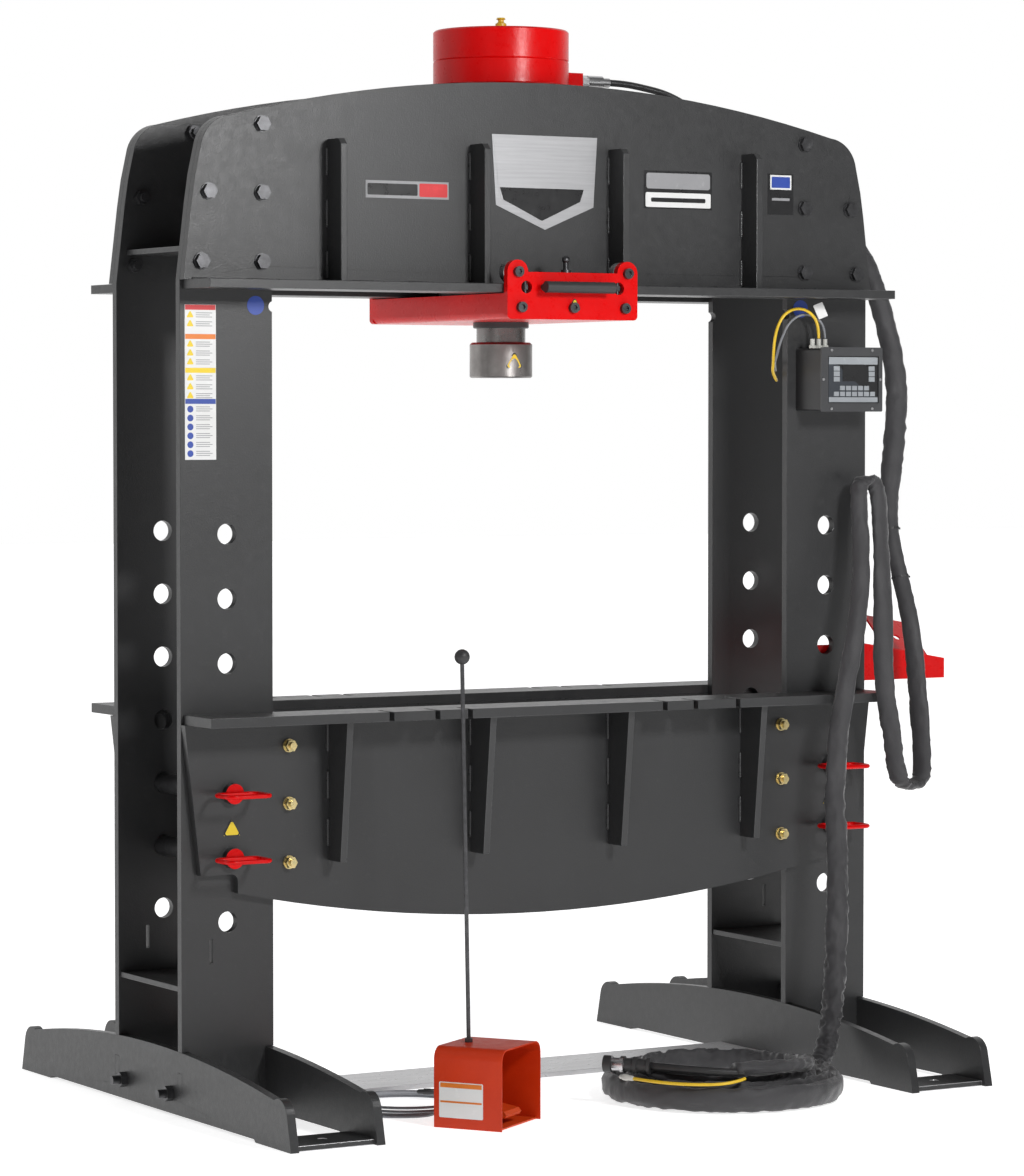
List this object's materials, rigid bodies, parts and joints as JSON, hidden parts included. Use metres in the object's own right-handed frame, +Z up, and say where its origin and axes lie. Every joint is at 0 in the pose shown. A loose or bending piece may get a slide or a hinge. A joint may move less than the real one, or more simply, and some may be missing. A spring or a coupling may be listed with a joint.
{
  "type": "hydraulic shop press",
  "caption": "Heavy two-post hydraulic shop press with a rolling cylinder carriage under an arched top beam, a pin-set bed, pull pins, a control box and a guarded foot switch.",
  "frame": {"origin": "centre of the four floor anchor holes, on the floor", "axes": "+X to the right across the posts, +Y from the front to the back, +Z up"},
  "size_m": [2.114, 1.4701, 2.472],
  "materials": {
    "frame_paint": "satin textured enamel",
    "red_paint": "gloss enamel",
    "barrel_paint": "satin enamel",
    "orange_paint": "powder coat",
    "orange_plastic": "moulded",
    "yellow_zinc": "yellow zinc plate",
    "black_screws": "black oxide",
    "roller_steel": "machined",
    "ram_steel": "turned steel",
    "chrome_rod": "polished",
    "black_rubber": "matte",
    "yellow_plastic": "moulded",
    "box_black": "satin",
    "box_face": "satin",
    "keypad_grey": "membrane",
    "label_white": "vinyl",
    "sleeve_fabric": "woven nylon",
    "cable_yellow": "matte",
    "cable_grey": "matte"
  },
  "bodies": {
    "frame": {"right_front_upright": "frame_paint", "right_rear_upright": "frame_paint", "left_front_upright": "frame_paint", "left_rear_upright": "frame_paint", "post_cross_plates": "frame_paint", "front_beam_plate": "frame_paint", "rear_beam_plate": "frame_paint", "beam_flanges": "frame_paint", "beam_ribs": "frame_paint", "frame_bolts": "frame_paint", "front_bed_plate": "frame_paint", "rear_bed_plate": "frame_paint", "bed_flanges": "frame_paint", "bed_ribs": "frame_paint", "bed_spacers": "frame_paint", "bed_bolts": "yellow_zinc", "right_outer_foot": "frame_paint", "right_inner_foot": "frame_paint", "left_outer_foot": "frame_paint", "left_inner_foot": "frame_paint", "floor_plates": "frame_paint", "control_case": "box_black", "control_face": "box_face", "keypad": "keypad_grey", "box_fittings": "roller_steel", "foot_guard": "orange_paint", "switch_base": "orange_plastic", "carry_rod": "black_screws", "pedal_hanger": "red_paint", "blank_labels": "label_white", "hose_sleeve": "sleeve_fabric", "sleeve_coil": "sleeve_fabric", "hose_end": "black_rubber", "yellow_cable": "cable_yellow", "grey_cable": "cable_grey", "foot_cord": "cable_grey", "foot_cord_coil": "cable_grey"},
    "carriage": {"carriage_front_plate": "red_paint", "carriage_rear_plate": "red_paint", "carriage_deck": "red_paint", "carriage_screws": "black_screws", "carriage_handle": "black_rubber", "cylinder_barrel": "barrel_paint", "cylinder_cap": "red_paint", "cylinder_gland": "roller_steel", "breather": "yellow_plastic", "hose_coupler": "roller_steel", "overhead_hose": "black_rubber"},
    "ram": {"ram_rod": "chrome_rod", "ram_head": "ram_steel"},
    "lock_screw": {"lock_screw": "black_screws"},
    "pedal": {"foot_pedal": "orange_plastic"},
    "left_upper_pin": {"left_upper_pin": "red_paint"},
    "left_lower_pin": {"left_lower_pin": "red_paint"},
    "right_upper_pin": {"right_upper_pin": "red_paint"},
    "right_lower_pin": {"right_lower_pin": "red_paint"},
    "roller_front_left": {"roller_front_left": "roller_steel"},
    "roller_front_right": {"roller_front_right": "roller_steel"},
    "roller_rear_left": {"roller_rear_left": "roller_steel"},
    "roller_rear_right": {"roller_rear_right": "roller_steel"}
  },
  "joints": [
    {"name": "carriage_slide", "type": "slide", "parent": "frame", "child": "carriage", "axis": [1, 0, 0], "range_m": [-0.44, 0.44]},
    {"name": "ram_slide", "type": "slide", "parent": "carriage", "child": "ram", "axis": [0, 0, 1], "range_m": [-0.33, 0.03]},
    {"name": "lock_screw_turn", "type": "hinge", "parent": "carriage", "child": "lock_screw", "pos_m": [0, -0.2915, 1.88], "axis": [0, 0, 1], "range_deg": [0, 360]},
    {"name": "pedal_press", "type": "hinge", "parent": "frame", "child": "pedal", "pos_m": [-0.3608, -0.54985, 0.028], "axis": [0.829, 0.5592, 0], "range_deg": [0, 8], "stiffness_Nm_per_rad": 1, "springref_deg": -17.19},
    {"name": "left_upper_pin_pull", "type": "slide", "parent": "frame", "child": "left_upper_pin", "axis": [0, -1, 0], "range_m": [0, 0.43]},
    {"name": "left_lower_pin_pull", "type": "slide", "parent": "frame", "child": "left_lower_pin", "axis": [0, -1, 0], "range_m": [0, 0.43]},
    {"name": "right_upper_pin_pull", "type": "slide", "parent": "frame", "child": "right_upper_pin", "axis": [0, -1, 0], "range_m": [0, 0.43]},
    {"name": "right_lower_pin_pull", "type": "slide", "parent": "frame", "child": "right_lower_pin", "axis": [0, -1, 0], "range_m": [0, 0.43]},
    {"name": "roller_front_left_spin", "type": "hinge", "parent": "carriage", "child": "roller_front_left", "pos_m": [-0.145, -0.2935, 1.8723], "axis": [0, 1, 0], "continuous": true},
    {"name": "roller_front_right_spin", "type": "hinge", "parent": "carriage", "child": "roller_front_right", "pos_m": [0.145, -0.2935, 1.8723], "axis": [0, 1, 0], "continuous": true},
    {"name": "roller_rear_left_spin", "type": "hinge", "parent": "carriage", "child": "roller_rear_left", "pos_m": [-0.145, 0.2935, 1.8723], "axis": [0, 1, 0], "continuous": true},
    {"name": "roller_rear_right_spin", "type": "hinge", "parent": "carriage", "child": "roller_rear_right", "pos_m": [0.145, 0.2935, 1.8723], "axis": [0, 1, 0], "continuous": true}
  ],
  "couplings": [
    {"joint": "roller_front_left_spin", "follows": "carriage_slide", "rad_per_m": 38.462},
    {"joint": "roller_front_right_spin", "follows": "carriage_slide", "rad_per_m": 38.462},
    {"joint": "roller_rear_left_spin", "follows": "carriage_slide", "rad_per_m": 38.462},
    {"joint": "roller_rear_right_spin", "follows": "carriage_slide", "rad_per_m": 38.462}
  ]
}
